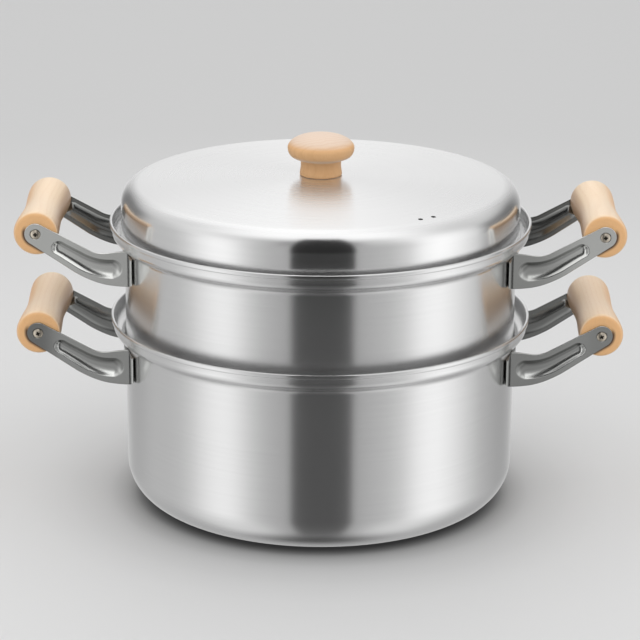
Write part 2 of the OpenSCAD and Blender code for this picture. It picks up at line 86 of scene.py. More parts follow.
class Graph:
    # A node tree of a material, the world or a Geometry Nodes modifier.
    def __init__(self, tree):
        self.tree = tree

    def plug(self, slot, value):
        if isinstance(value, Wire):
            self.tree.links.new(value.socket, slot)
        else:
            slot.default_value = value

    def add(self, kind, settings=None, inputs=None, output=0):
        node = self.tree.nodes.new(kind)
        for name, value in (settings or {}).items():
            if name == "stops":
                self.fillRamp(node.color_ramp, value)
            else:
                setattr(node, name, value)
        for key, value in (inputs or {}).items():
            self.plug(node.inputs[key], value)
        return Wire(self, node.outputs[output]) if node.outputs else None

    def calc(self, operation, *values):
        return self.add("ShaderNodeMath", {"operation": operation}, dict(enumerate(values)))

    def fillRamp(self, ramp, stops):
        while len(ramp.elements) < len(stops):
            ramp.elements.new(0.5)
        for element, (place, shade) in zip(ramp.elements, stops):
            element.position = place
            element.color = shade if isinstance(shade, tuple) else (shade, shade, shade, 1)
        ramp.interpolation = "CARDINAL"

    def smooth(self, value, low, high):
        # 0 below low, 1 above high, eased between
        return self.add("ShaderNodeMapRange", {"interpolation_type": "SMOOTHSTEP"},
                        {"Value": value, "From Min": low, "From Max": high})

    def blend(self, factor, first, second):
        return self.add("ShaderNodeMix", {"data_type": "RGBA"}, {0: factor, 6: first, 7: second}, 2)

    def times(self, colour, shade):
        return self.add("ShaderNodeMix", {"data_type": "RGBA", "blend_type": "MULTIPLY"},
                        {0: 1.0, 6: colour, 7: shade}, 2)

    def grey(self, level):
        return self.add("ShaderNodeCombineColor", {}, {0: level, 1: level, 2: level})

    def vector(self, operation, first, second=(0, 0, 0), output=0):
        return self.add("ShaderNodeVectorMath", {"operation": operation}, {0: first, 1: second}, output)

    def parts(self, value):
        # The three numbers of a vector
        node = self.tree.nodes.new("ShaderNodeSeparateXYZ")
        self.plug(node.inputs[0], value)
        return [Wire(self, socket) for socket in node.outputs]

    def surface(self):
        # Where a point lies on its object, and which way the surface faces there
        node = self.tree.nodes.new("ShaderNodeTexCoord")
        return Wire(self, node.outputs["Object"]), Wire(self, node.outputs["Normal"])

    def noise(self, place, scale, detail, roughness=0.5):
        return self.add("ShaderNodeTexNoise", {}, {
            "Vector": place, "Scale": scale, "Detail": detail, "Roughness": roughness})

    def bump(self, look, height):
        return self.add("ShaderNodeBump", {}, {
            "Strength": look["bump"], "Distance": look["bumpDepth"], "Height": height})

    def join(self, *pieces):
        node = self.tree.nodes.new("GeometryNodeJoinGeometry")
        for piece in pieces:
            self.tree.links.new(piece.socket, node.inputs[0])
        return Wire(self, node.outputs[0])


def srgb(red, green, blue):
    # A colour as it is read off a screen, 0 to 255, to the linear one that nodes take
    def straight(level):
        level /= 255
        return level / 12.92 if level <= 0.04045 else ((level + 0.055) / 1.055) ** 2.4
    return (straight(red), straight(green), straight(blue), 1)


# meshes

# merge, sliver and onSeam are in metres, onAxis in millimetres, noNormal in square millimetres
meshing = {"merge": 2e-6, "sliver": 1e-7, "onSeam": 1e-5, "onAxis": 1e-6, "noNormal": 1e-9, "sharpAngle": 40}


def arcPoints(centre, radius, start, end, steps):
    turns = [radians(start + (end - start) * i / steps) for i in range(steps + 1)]
    return [(centre[0] + radius * cos(a), centre[1] + radius * sin(a)) for a in turns]


def ease(share):
    return (1 - cos(pi * share)) / 2


def mix(first, second, share):
    return first + (second - first) * share


def newObject(name, data):
    obj = bpy.data.objects.new(name, data)
    scene.collection.objects.link(obj)
    return obj


def meshObject(name, points, faces, sharpAngle=meshing["sharpAngle"]):
    # Points in millimetres become an object at the origin, smooth but for edges past sharpAngle
    mesh = bpy.data.meshes.new(name)
    mesh.from_pydata([tuple(c / perMetre for c in p) for p in points], [], faces)
    obj = newObject(name, mesh)
    tidyMesh(mesh, sharpAngle)
    return obj


def tidyMesh(mesh, sharpAngle):
    work = bmesh.new()
    work.from_mesh(mesh)
    bmesh.ops.remove_doubles(work, verts=work.verts, dist=meshing["merge"])
    bmesh.ops.dissolve_degenerate(work, edges=work.edges, dist=meshing["sliver"])
    bmesh.ops.recalc_face_normals(work, faces=work.faces)
    for face in work.faces:
        face.smooth = True
    for edge in work.edges:
        edge.smooth = len(edge.link_faces) == 2 and edge.calc_face_angle(0) < radians(sharpAngle)
    work.to_mesh(mesh)
    work.free()


def spin(name, outline, turns, sharpAngle=meshing["sharpAngle"]):
    # Closed (radius, height) outline turned about Z. A point on the axis becomes one vertex.
    points, rows = [], []
    for radius, height in outline:
        if radius < meshing["onAxis"]:
            rows.append([len(points)] * turns)
            points.append((0, 0, height))
        else:
            rows.append(list(range(len(points), len(points) + turns)))
            points += [(radius * cos(2 * pi * k / turns), radius * sin(2 * pi * k / turns), height)
                       for k in range(turns)]
    # An outline that starts on the axis needs no wall between its last point and its first
    shut = 1 if outline[0][0] < meshing["onAxis"] else 0
    faces = []
    for i in range(len(rows) - shut):
        low, high = rows[i], rows[(i + 1) % len(rows)]
        for k in range(turns):
            n = (k + 1) % turns
            faces.append(tuple(dict.fromkeys([low[k], low[n], high[n], high[k]])))
    return meshObject(name, points, [f for f in faces if len(f) > 2], sharpAngle)


def evaluated(obj):
    # The mesh after its modifiers, which are then taken off
    graph = bpy.context.evaluated_depsgraph_get()
    graph.update()
    mesh = bpy.data.meshes.new_from_object(obj.evaluated_get(graph))
    obj.modifiers.clear()
    old = obj.data
    obj.data = mesh
    mesh.name = obj.name
    bpy.data.meshes.remove(old)
    return obj


def cutAway(obj, cutters, sharpAngle=meshing["sharpAngle"]):
    for cutter in cutters:
        step = obj.modifiers.new("cut", "BOOLEAN")
        step.operation = "DIFFERENCE"
        step.solver = "EXACT"
        step.object = cutter
    evaluated(obj)
    for cutter in cutters:
        bpy.data.objects.remove(cutter)
    tidyMesh(obj.data, sharpAngle)


def moveMesh(obj, matrix):
    obj.data.transform(matrix)
    if matrix.determinant() < 0:
        obj.data.flip_normals()
    return obj


def shifted(x=0, y=0, z=0):
    return Matrix.Translation((x / perMetre, y / perMetre, z / perMetre))


def finishPiece(obj, material, body, nodes):
    obj.data.materials.clear()
    obj.data.materials.append(material)
    for polygon in obj.data.polygons:
        polygon.material_index = 0
    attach(obj, body)
    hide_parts(*nodes)


def nodeBox(name):
    low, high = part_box(name)
    return low * perMetre, high * perMetre


# materials

def newMaterial(name):
    material = bpy.data.materials.new(name)
    material.use_nodes = True
    material.node_tree.nodes.clear()
    return material, Graph(material.node_tree)


def showSurface(graph, inputs, kind="ShaderNodeBsdfPrincipled"):
    graph.add("ShaderNodeOutputMaterial", {}, {"Surface": graph.add(kind, {}, inputs)})


satin = {
    "shade": srgb(231, 231, 231), "roughness": 0.25, "anisotropy": 0.8, "turn": 0.25,
    "lineDensity": 1500.0, "lineLength": 9.0, "lineDetail": 3.0, "cloudScale": 14.0, "cloudDetail": 2.0,
    "shadeSpread": 0.04, "roughSpread": 0.04, "bump": 0.008, "bumpDepth": 0.0002,
    "topSpan": (0.6, 0.95), "topDull": 0.0,
}


def satinSteel(name, changes=None):
    # Hairlines run round the axis: the pattern is fine along height and radius, long around
    look = dict(satin, **(changes or {}))
    material, graph = newMaterial(name)
    place, facing = graph.surface()
    x, y, z = graph.parts(place)
    upward = graph.vector("DOT_PRODUCT", facing, (0, 0, 1), 1)
    across = (z + graph.calc("SQRT", x * x + y * y)) * look["lineDensity"]
    along = graph.add("ShaderNodeCombineXYZ", {},
                      {0: x * look["lineLength"], 1: y * look["lineLength"], 2: across})
    lines = graph.noise(along, 1.0, look["lineDetail"])
    cloud = graph.noise(place, look["cloudScale"], look["cloudDetail"])
    shade = 1 - look["shadeSpread"] * (1 - lines) * 2
    rough = look["roughness"] + (lines - 0.5) * look["roughSpread"] + (cloud - 0.5) * look["roughSpread"]
    rough = rough + graph.smooth(upward, *look["topSpan"]) * look["topDull"]
    showSurface(graph, {
        "Base Color": graph.times(look["shade"], graph.grey(shade)), "Metallic": 1.0, "Roughness": rough,
        "Normal": graph.bump(look, lines), "Anisotropic": look["anisotropy"],
        "Anisotropic Rotation": look["turn"]})
    return material


# sideSpan, rootSpan, tabSpan and bumpDepth are in metres. The painted shade near the arms' roots and on the
# tabs takes two values, for left and right.
stamped = {
    "shade": srgb(200, 203, 208), "roughness": 0.2, "grainScale": 2600.0, "grainDetail": 2.0,
    "cloudScale": 60.0, "cloudDetail": 3.0, "shadeSpread": 0.06, "roughSpread": 0.08, "bump": 0.05,
    "bumpDepth": 0.0001, "faceSpan": (0.3, 0.8), "sideSpan": (-0.01, 0.01), "insideShade": 0.0,
    "recessShadeStrength": 0.0, "rootSpan": (0.128, 0.165), "rootShade": (0.0, 0.0), "tabSpan": (0.156, 0.17),
    "tabShade": (0.0, 0.0), "flankSlope": (0.08, 0.5), "flankLight": 0.0, "flankShade": 0.0,
}


def stampedSteel(name, changes=None):
    # Fine even grain of rolled sheet with faint clouds, with painted shade on the arms' inner sides, in
    # recesses, near the roots and on the tabs, and painted light and shade on the beads' flanks
    look = dict(stamped, **(changes or {}))
    material, graph = newMaterial(name)
    place, normal = graph.surface()
    (x, y, _), (sideways, facing, upward) = graph.parts(place), graph.parts(normal)
    reach = graph.calc("ABSOLUTE", x)
    away = graph.calc("SIGN", y) * facing
    inside = graph.smooth(-away, *look["faceSpan"])
    outside = graph.smooth(away, *look["faceSpan"])
    # The beads' flanks: painted light where they face up or the pot, painted shade where they face down or
    # away
    lean = upward - sideways * graph.calc("SIGN", x)
    flankLightAndShade = (1 + graph.smooth(lean, *look["flankSlope"]) * outside * look["flankLight"]
              - graph.smooth(-lean, *look["flankSlope"]) * outside * look["flankShade"])
    grain = graph.noise(place, look["grainScale"], look["grainDetail"])
    cloud = graph.noise(place, look["cloudScale"], look["cloudDetail"])
    # Painted shade on the arms' inner faces
    shade = (1 - look["shadeSpread"] * cloud) * (1 - look["insideShade"] * inside) * flankLightAndShade
    # Painted shade near the arms' roots and on the tabs, set for left and right
    onRight = graph.smooth(x, *look["sideSpan"])
    root = 1 - graph.smooth(reach, *look["rootSpan"])
    tab = graph.smooth(reach, *look["tabSpan"])
    for end, (left, right) in ((root, look["rootShade"]), (tab, look["tabShade"])):
        shade = shade * (1 - end * (onRight * (right - left) + left))
    # Painted shade from the screws' face attribute: in the recess and round the brim
    recess = graph.add("ShaderNodeAttribute", {"attribute_name": "recess"}, {}, "Fac")
    shade = shade * (1 - look["recessShadeStrength"] * recess)
    rough = look["roughness"] + (cloud - 0.5) * look["roughSpread"] + (grain - 0.5) * look["roughSpread"]
    showSurface(graph, {"Base Color": graph.times(look["shade"], graph.grey(shade)), "Metallic": 1.0,
                        "Roughness": rough, "Normal": graph.bump(look, grain)})
    return material


# ringPitch, waver, and the span and fade of the painted shadow line below the tab are in millimetres,
# bumpDepth in metres
beech = {
    "pale": srgb(253, 230, 199), "mid": srgb(247, 214, 176), "dark": srgb(226, 180, 134),
    "endPale": srgb(248, 200, 146), "endDark": srgb(234, 178, 118), "fleck": srgb(206, 156, 106),
    "ringPitch": 2.6, "ringShare": 0.45, "ringEndShare": 0.9, "ringStrength": 0.12, "waver": 2.2,
    "waverScale": 0.12, "waverDetail": 3.0, "fibreScale": 2.4, "fibreStretch": (1, 1, 0.05),
    "fibreDetail": 6.0, "fibreRoughness": 0.65, "fleckScale": (2.6, 2.6, 0.35), "fleckDetail": 1.0,
    "fleckSpan": (0.66, 0.74), "fleckStrength": 0.25, "endSpan": (0.45, 0.92), "roughness": 0.4,
    "fleckRough": 0.1, "coat": 0.3, "coatRoughness": 0.22, "gloss": 0.5, "bump": 0.06, "bumpDepth": 0.0003,
    # The outer and inner flank colours are painted shade down the grips' barrels
    "fibreHeight": 0.6, "fleckHeight": -0.4, "outer": srgb(246, 184, 116), "outerShadeSpan": (0.42, 0.9),
    "outerShadeStrength": 0.7, "inner": srgb(170, 122, 78), "innerShadeSpan": (0.66, 1.0), "innerShadeStrength": 0.7,
    # The dark colour and its spans below are a painted shadow line under the bracket's tab
    "tabShadow": srgb(58, 34, 20), "tabShadowSpan": (0.4, 2.5), "tabShadowFade": (-2, 3), "tabShadowStrength": 0.95,
}
# On the knob the end-grain colours are a pale painted sheen: faces along the axis, the dome most, are drawn
# paler than the sides
knobBeech = {
    "pale": srgb(246, 202, 152), "mid": srgb(230, 177, 124), "dark": srgb(206, 150, 98),
    "endPale": srgb(240, 220, 202), "endDark": srgb(232, 204, 180), "ringStrength": 0.15, "fibreScale": 3.2,
    "coat": 0.0, "gloss": 0.25,
}


def beechWood(name, axis, pith, changes=None, tabShadow=None):
    # Solid wood: rings about a pith line along the piece, drawn-out fibre, short flecks, darker end grain
    look = dict(beech, **(changes or {}))
    material, graph = newMaterial(name)
    place, normal = graph.surface()
    turn, along = ((0, 0, 0), (0, 0, 1)) if axis == "Z" else ((radians(90), 0, 0), (0, 1, 0))
    laid = graph.add("ShaderNodeMapping", {"vector_type": "TEXTURE"},
                     {"Vector": place, "Location": tuple(c / perMetre for c in pith), "Rotation": turn})
    grain = graph.vector("MULTIPLY", laid, (perMetre,) * 3)
    drawn = graph.vector("MULTIPLY", grain, look["fibreStretch"])
    x, y, _ = graph.parts(grain)
    sway = graph.noise(drawn, look["waverScale"], look["waverDetail"])
    radius = graph.calc("SQRT", x * x + y * y) + (sway - 0.5) * 2 * look["waver"]
    ring = graph.calc("FRACT", radius / look["ringPitch"])
    late = (graph.smooth(ring, look["ringShare"], look["ringEndShare"])
            * (1 - graph.smooth(ring, look["ringEndShare"], 1.0)))
    fibre = graph.noise(drawn, look["fibreScale"], look["fibreDetail"], look["fibreRoughness"])
    dashes = graph.noise(graph.vector("MULTIPLY", grain, look["fleckScale"]), 1.0, look["fleckDetail"])
    fleck = graph.smooth(dashes, *look["fleckSpan"])
    facing = graph.calc("ABSOLUTE", graph.vector("DOT_PRODUCT", normal, along, 1))
    endGrain = graph.smooth(facing, *look["endSpan"])
    side = graph.blend(fibre, look["pale"], look["mid"])
    cut = graph.blend(fibre, look["endPale"], look["endDark"])
    colour = graph.blend(endGrain, side, cut)
    colour = graph.blend(late * look["ringStrength"], colour, look["dark"])
    colour = graph.blend(fleck * look["fleckStrength"], colour, look["fleck"])
    if tabShadow:
        colour = gripShade(graph, look, endGrain, colour, tabShadow)
    height = fibre * look["fibreHeight"] + fleck * look["fleckHeight"]
    showSurface(graph, {
        "Base Color": colour, "Roughness": look["roughness"] + fleck * look["fleckRough"],
        "Normal": graph.bump(look, height), "Specular IOR Level": look["gloss"],
        "Coat Weight": look["coat"], "Coat Roughness": look["coatRoughness"]})
    return material


def gripShade(graph, look, endGrain, colour, tabShadow):
    # Painted shade down a grip's flanks, warmer orange outside and brown on the side facing the pot, and on
    # its end face a painted shadow line below the bracket's tab
    place, normal = graph.surface()
    (x, _, z), (sideways, _, _) = graph.parts(place), graph.parts(normal)
    side = graph.calc("SIGN", x)
    barrel = 1 - endGrain
    # Painted shade by which way the barrel faces: outer flank warmer, inner flank darker
    outer = graph.smooth(sideways * side, *look["outerShadeSpan"]) * barrel
    inner = graph.smooth(-(sideways * side), *look["innerShadeSpan"]) * barrel
    colour = graph.blend(outer * look["outerShadeStrength"], colour, look["outer"])
    colour = graph.blend(inner * look["innerShadeStrength"], colour, look["inner"])
    # Painted shadow along the tab's lower edge on the end face
    middleX, middleZ, radius, slope = tabShadow
    outward, up = (x * perMetre - middleX) * side, z * perMetre - middleZ
    along = 0 - outward * cos(slope) - up * sin(slope)
    below = outward * sin(slope) - up * cos(slope)
    past = graph.calc("MINIMUM", along, 0)
    reach = graph.calc("SQRT", below * below + past * past)
    near, far = (radius + width for width in look["tabShadowSpan"])
    line = (1 - graph.smooth(reach, near, far)) * graph.smooth(below, *look["tabShadowFade"]) * endGrain
    return graph.blend(line * look["tabShadowStrength"], colour, look["tabShadow"])


bodySteel = satinSteel("satin_steel")
lidSteel = satinSteel("satin_steel_lid", {"shade": srgb(238, 238, 238), "roughness": 0.19, "topDull": 0.09})
# The two tiers' brackets are the same steel: the pot's are painted darker, as painted shade, and both carry
# painted light and shade of their own
bracketLooks = {
    "pot": {"shade": srgb(184, 185, 183), "insideShade": 0.42, "rootShade": (0.0, 0.15),
            "tabShade": (0.4, 0.15), "flankLight": 0.8, "flankShade": 0.5},
    "steamer": {"shade": srgb(228, 229, 226), "insideShade": 0.7, "rootShade": (0.15, 0.38),
                "flankLight": 0.26, "flankShade": 0.5},
}
bracketSteels = {body: stampedSteel(f"stamped_steel_{body}", look) for body, look in bracketLooks.items()}
# The screws' material paints shade into the cross recess and round the brim
screwSteel = stampedSteel("nickel_plate", {"shade": srgb(216, 206, 190), "roughness": 0.3, "bump": 0.0,
                                           "recessShadeStrength": 0.9})
sleeveSteel = stampedSteel("sleeve_steel", {"shade": srgb(200, 200, 200), "roughness": 0.3})
brass = stampedSteel("brass_insert", {"shade": srgb(214, 178, 102), "roughness": 0.28})
print("materials made")


# shells

sheet = {"thickness": 0.8, "bodyRadius": 121.0, "potCorner": 24.0, "turns": 256, "longSteps": 20, "steps": 10}
rim = {"stepWidth": 7.8, "bendRadius": 4.8, "wallHeight": 3.1, "lean": 8.0, "lipWidth": 1.9, "lipHeight": 2.9,
       "steps": 12, "lipSteps": 6, "trim": 0.015}  # trim keeps the facets inside the solid's box
potRimZ = nodeBox("pot_shell")[1].z
steamerRimZ = nodeBox("steamer_shell")[1].z
stepTurn = degrees(acos(1 - rim["stepWidth"] / (2 * rim["bendRadius"])))
rimHeight = rim["lipHeight"] + rim["wallHeight"] + 2 * rim["bendRadius"] * sin(radians(stepTurn))
upperBendX = sheet["bodyRadius"] + rim["stepWidth"] - rim["bendRadius"]
lowerBendX = sheet["bodyRadius"] + rim["bendRadius"]
lipRadius = rim["lipWidth"] / 2
wallTopX = (upperBendX + rim["bendRadius"] * cos(radians(rim["lean"]))
            + (rim["wallHeight"] - rim["bendRadius"] * sin(radians(rim["lean"]))) * tan(radians(rim["lean"])))
lipX = wallTopX - sheet["thickness"] / cos(radians(rim["lean"])) + lipRadius - rim["trim"]
lipStart = degrees(acos(min(1, (wallTopX - lipX) / lipRadius)))


def rimOutside(top):
    return (arcPoints((lowerBendX, top - rimHeight), rim["bendRadius"], 180, 180 - stepTurn, rim["steps"])
            + arcPoints((upperBendX, top - rim["lipHeight"] - rim["wallHeight"]), rim["bendRadius"],
                        -stepTurn, rim["lean"], rim["steps"])
            + arcPoints((lipX, top - rim["lipHeight"] + lipRadius), lipRadius, -lipStart, 0, rim["lipSteps"])
            + arcPoints((lipX, top - lipRadius), lipRadius, 0, 180, rim["steps"]))


def rimInside(top):
    return (arcPoints((upperBendX, top - rim["lipHeight"] - rim["wallHeight"]),
                      rim["bendRadius"] - sheet["thickness"], rim["lean"], -stepTurn, rim["steps"])
            + arcPoints((lowerBendX, top - rimHeight), rim["bendRadius"] + sheet["thickness"],
                        180 - stepTurn, 180, rim["steps"]))


def potShell():
    corner = (sheet["bodyRadius"] - sheet["potCorner"], sheet["potCorner"])
    outline = ([(0, 0)] + arcPoints(corner, sheet["potCorner"], -90, 0, sheet["longSteps"])
               + rimOutside(potRimZ) + rimInside(potRimZ)
               + arcPoints(corner, sheet["potCorner"] - sheet["thickness"], 0, -90, sheet["longSteps"])
               + [(0, sheet["thickness"])])
    return spin("pot_body", outline, sheet["turns"])


spigot = {"gap": 1.2, "height": 18.0, "bend": 2.5, "corner": 10.0}
steam = {"hole": 6.0, "margin": 7.0, "rings": 6, "holeSides": 32, "rootSlack": 0.0001}


def geometryTree(name, sockets):
    tree = bpy.data.node_groups.new(name, "GeometryNodeTree")
    for label, kind in sockets.items():
        tree.interface.new_socket(label, in_out="INPUT", socket_type=kind)
    tree.interface.new_socket("Geometry", in_out="OUTPUT", socket_type="NodeSocketGeometry")
    graph = Graph(tree)
    entry = tree.nodes.new("NodeGroupInput")
    return graph, {label: Wire(graph, entry.outputs[label]) for label in sockets}


def runTree(obj, graph, values):
    # Sets the inputs by their identifiers and keeps the result as a plain mesh
    step = obj.modifiers.new("build", "NODES")
    step.node_group = graph.tree
    for item in graph.tree.interface.items_tree:
        if item.in_out == "INPUT" and item.name in values:
            step[item.identifier] = values[item.name]
    return evaluated(obj)


def endTree(graph, geometry, material):
    real = graph.add("GeometryNodeRealizeInstances", {}, {"Geometry": geometry})
    done = graph.add("GeometryNodeSetMaterial", {}, {"Geometry": real, "Material": material})
    graph.add("NodeGroupOutput", {}, {"Geometry": done})
    return graph


def perforationTree():
    # A disc with rings of round holes: ring k has 6 k holes. Sizes are in metres.
    graph, inputs = geometryTree("perforated_disc", {
        "Disc Radius": "NodeSocketFloat", "Disc Sides": "NodeSocketInt", "Hole Radius": "NodeSocketFloat",
        "Hole Sides": "NodeSocketInt", "Ring Pitch": "NodeSocketFloat", "Rings": "NodeSocketInt",
        "Sheet": "NodeSocketFloat", "Material": "NodeSocketMaterial"})
    rings = inputs["Rings"]
    points = graph.add("GeometryNodePoints", {}, {"Count": rings * (rings + 1) * 3 + 1})
    index = graph.add("GeometryNodeInputIndex")
    # Rings 1 to k hold 3 k (k + 1) holes, so a hole's ring is the root of that, rounded up
    ring = graph.calc("CEIL", (graph.calc("SQRT", index * 12 + 9) - 3) / 6 - steam["rootSlack"])
    step = index - 1 - ring * (ring - 1) * 3
    angle = step * radians(60) / graph.calc("MAXIMUM", ring, 1)
    reach = ring * inputs["Ring Pitch"]
    spot = graph.add("ShaderNodeCombineXYZ", {}, {0: graph.calc("COSINE", angle) * reach,
                                                  1: graph.calc("SINE", angle) * reach})
    placed = graph.add("GeometryNodeSetPosition", {}, {"Geometry": points, "Position": spot})
    hole, disc = (graph.add("GeometryNodeCurvePrimitiveCircle", {}, {
        "Resolution": inputs[f"{shape} Sides"], "Radius": inputs[f"{shape} Radius"]})
        for shape in ("Hole", "Disc"))
    holes = graph.add("GeometryNodeInstanceOnPoints", {}, {"Points": placed, "Instance": hole})
    outlines = graph.join(graph.add("GeometryNodeRealizeInstances", {}, {"Geometry": holes}), disc)
    filled = graph.add("GeometryNodeFillCurve", {}, {"Curve": outlines})
    raised = graph.add("GeometryNodeExtrudeMesh", {}, {
        "Mesh": filled, "Offset": (0, 0, 1), "Offset Scale": inputs["Sheet"], "Individual": False})
    under = graph.add("GeometryNodeFlipFaces", {}, {"Mesh": filled})
    return endTree(graph, graph.join(raised, under), inputs["Material"])


def steamerShell():
    t = sheet["thickness"]
    steps = sheet["steps"]
    spigotR = sheet["bodyRadius"] - t - spigot["gap"]
    seatTurn = degrees(acos(1 - (sheet["bodyRadius"] - spigotR) / (2 * spigot["bend"])))
    seatFall = 2 * spigot["bend"] * sin(radians(seatTurn))
    floorZ = nodeBox("steamer_shell")[0].z
    seatZ = floorZ + spigot["height"] + seatFall
    corner = (spigotR - spigot["corner"], floorZ + spigot["corner"])
    shoulder = (sheet["bodyRadius"] - spigot["bend"], seatZ)
    neck = (spigotR + spigot["bend"], seatZ - seatFall)
    outline = (arcPoints(corner, spigot["corner"], -90, 0, steps)
               + arcPoints(neck, spigot["bend"], 180, 180 - seatTurn, steps)
               + arcPoints(shoulder, spigot["bend"], -seatTurn, 0, steps)
               + rimOutside(steamerRimZ) + rimInside(steamerRimZ)
               + arcPoints(shoulder, spigot["bend"] - t, 0, -seatTurn, steps)
               + arcPoints(neck, spigot["bend"] + t, 180 - seatTurn, 180, steps)
               + arcPoints(corner, spigot["corner"] - t, 0, -90, steps))
    wall = spin("steamer_wall", outline, sheet["turns"])
    disc = meshObject("steamer_floor", [(0, 0, 0)], [])
    runTree(disc, perforationTree(), {
        "Disc Radius": corner[0] / perMetre, "Disc Sides": sheet["turns"],
        "Hole Radius": steam["hole"] / 2 / perMetre, "Hole Sides": steam["holeSides"],
        "Ring Pitch": (corner[0] - steam["margin"]) / steam["rings"] / perMetre, "Rings": steam["rings"],
        "Sheet": t / perMetre, "Material": bodySteel})
    moveMesh(disc, shifted(z=floorZ))
    return joined("steamer_body", wall, disc, corner[0] / perMetre)


def joined(name, wall, disc, seamRadius):
    # One closed shell: the faces that would stand inside the seam go, then the edges meet
    work = bmesh.new()
    work.from_mesh(wall.data)
    work.from_mesh(disc.data)
    inner = [f for f in work.faces
             if all(abs(hypot(v.co.x, v.co.y) - seamRadius) < meshing["onSeam"] for v in f.verts)]
    bmesh.ops.delete(work, geom=inner, context="FACES_ONLY")
    mesh = bpy.data.meshes.new(name)
    work.to_mesh(mesh)
    work.free()
    bpy.data.objects.remove(wall)
    bpy.data.objects.remove(disc)
    tidyMesh(mesh, meshing["sharpAngle"])
    return newObject(name, mesh)


lid = {
    "inset": 1.0, "flange": 2.8, "foot": 1.5, "shoulder": 12.0, "slope": 4.4, "land": 15.0, "vent": 3.0,
    "ventInset": 16.0, "ventPitch": 9.5, "ventTurn": 35.5, "screwHole": 5.2, "crownSteps": 16,
    "holeSides": 32,
}
lidTopZ = nodeBox("lid_shell")[1].z
lidSeatZ = nodeBox("lid_shell")[0].z


def lidShell():
    t = sheet["thickness"]
    radius = upperBendX - lid["inset"]
    flangeR = radius + lid["flange"]
    edgeR = radius - lid["shoulder"] + lid["shoulder"] * sin(radians(lid["slope"]))
    crownR = edgeR / sin(radians(lid["slope"]))
    crownZ = lidTopZ - sqrt(crownR ** 2 - lid["land"] ** 2)
    shoulder = (radius - lid["shoulder"], crownZ + (crownR - lid["shoulder"]) * cos(radians(lid["slope"])))
    foot = (radius + lid["foot"], lidSeatZ + t + lid["foot"])
    edge = 90 - lid["slope"]
    landTurn = 90 - degrees(asin(lid["land"] / crownR))
    outline = ([(0, lidTopZ - t)] + arcPoints((0, crownZ), crownR - t, landTurn, edge, lid["crownSteps"])
               + arcPoints(shoulder, lid["shoulder"] - t, edge, 0, sheet["longSteps"])
               + arcPoints(foot, lid["foot"] + t, 180, 270, sheet["steps"])
               + arcPoints((flangeR - t / 2, lidSeatZ + t / 2), t / 2, -90, 90, sheet["steps"])
               + arcPoints(foot, lid["foot"], 270, 180, sheet["steps"])
               + arcPoints(shoulder, lid["shoulder"], 0, edge, sheet["longSteps"])
               + arcPoints((0, crownZ), crownR, edge, landTurn, lid["crownSteps"]) + [(0, lidTopZ)])
    shell = spin("lid_shell_skin", outline, sheet["turns"])
    ventR = radius - lid["ventInset"]
    swing = degrees(asin(lid["ventPitch"] / 2 / ventR))
    drills = []
    for turn in (lid["ventTurn"] - 90 - swing, lid["ventTurn"] - 90 + swing):
        spot = shifted(ventR * cos(radians(turn)), ventR * sin(radians(turn)), shoulder[1])
        drills.append(moveMesh(drill(lid["vent"], lid["shoulder"] * 2), spot))
    middle = shifted(z=lidTopZ - lid["shoulder"] / 2)
    drills.append(moveMesh(drill(lid["screwHole"], lid["shoulder"]), middle))
    cutAway(shell, drills)
    return shell


def drill(width, height):
    radius = width / 2
    return spin("drill", [(0, 0), (radius, 0), (radius, height), (0, height)], lid["holeSides"])


finishPiece(potShell(), bodySteel, "pot", ["pot_shell"])
finishPiece(steamerShell(), bodySteel, "steamer", ["steamer_shell"])
finishPiece(lidShell(), lidSteel, "lid", ["lid_shell"])
print("shells made")


# brackets

# The pot's pair of handles sits lower below its rim than the steamer's
gripMiddle = {body: sum(nodeBox(f"{body}_grip_right"), Vector()) / 2 for body in ("pot", "steamer")}
gripX = gripMiddle["steamer"].x
gripHalf = nodeBox("steamer_grip_right")[1].y
gripDrop = steamerRimZ - gripMiddle["steamer"].z
handleLevel = {body: middle.z + gripDrop for body, middle in gripMiddle.items()}
bracket = {
    "sheet": 1.5, "bend": 1.5, "drop": 32.5, "webClearance": 0.8, "weldGap": 0.2, "rootHalf": 11.0,
    "midHalf": 8.2, "tab": 6.7, "rise": 31.0, "curve": 36.0, "edge": 0.35, "webSteps": 40, "bendSteps": 12,
    "armSteps": 110, "tabSteps": 12, "across": 44, "edgeSteps": 4, "ramp": 2.0, "punchSides": 48,
    "sharpAngle": 50,
}
bead = {
    "rootHalf": 6.3, "tipHalf": 4.4, "rootDepth": 2.6, "tipDepth": 2.4, "rootIn": 3.0, "tipGap": 1.1,
    "taperShare": 0.83, "fullness": 3.0, "bowlShare": 0.8,
}
screwHead = {
    "diameter": 6.0, "shank": 4.0, "shankLength": 16.0, "crown": 0.9, "crownStartShare": 0.985,
    "rim": (-0.08, 0.06), "holeGap": 0.1, "sinkGap": 0.3, "recessShare": 0.52, "bladeShare": 0.28,
    # The brim values place the painted shade round the head's edge
    "depthShare": 0.7, "recessSlack": (0.1, 0.03), "brimShare": 0.9, "brimDepth": 0.2, "brimShade": 0.6,
    "turns": 64, "steps": 10, "sharpAngle": 35, "turnLimit": 40, "firstSeed": 4,
}
grip = {"end": 13.4, "waist": 11.9, "round": 2.5, "bore": 7.2, "turns": 96, "steps": 40, "roundSteps": 8,
        "sharpAngle": 60}

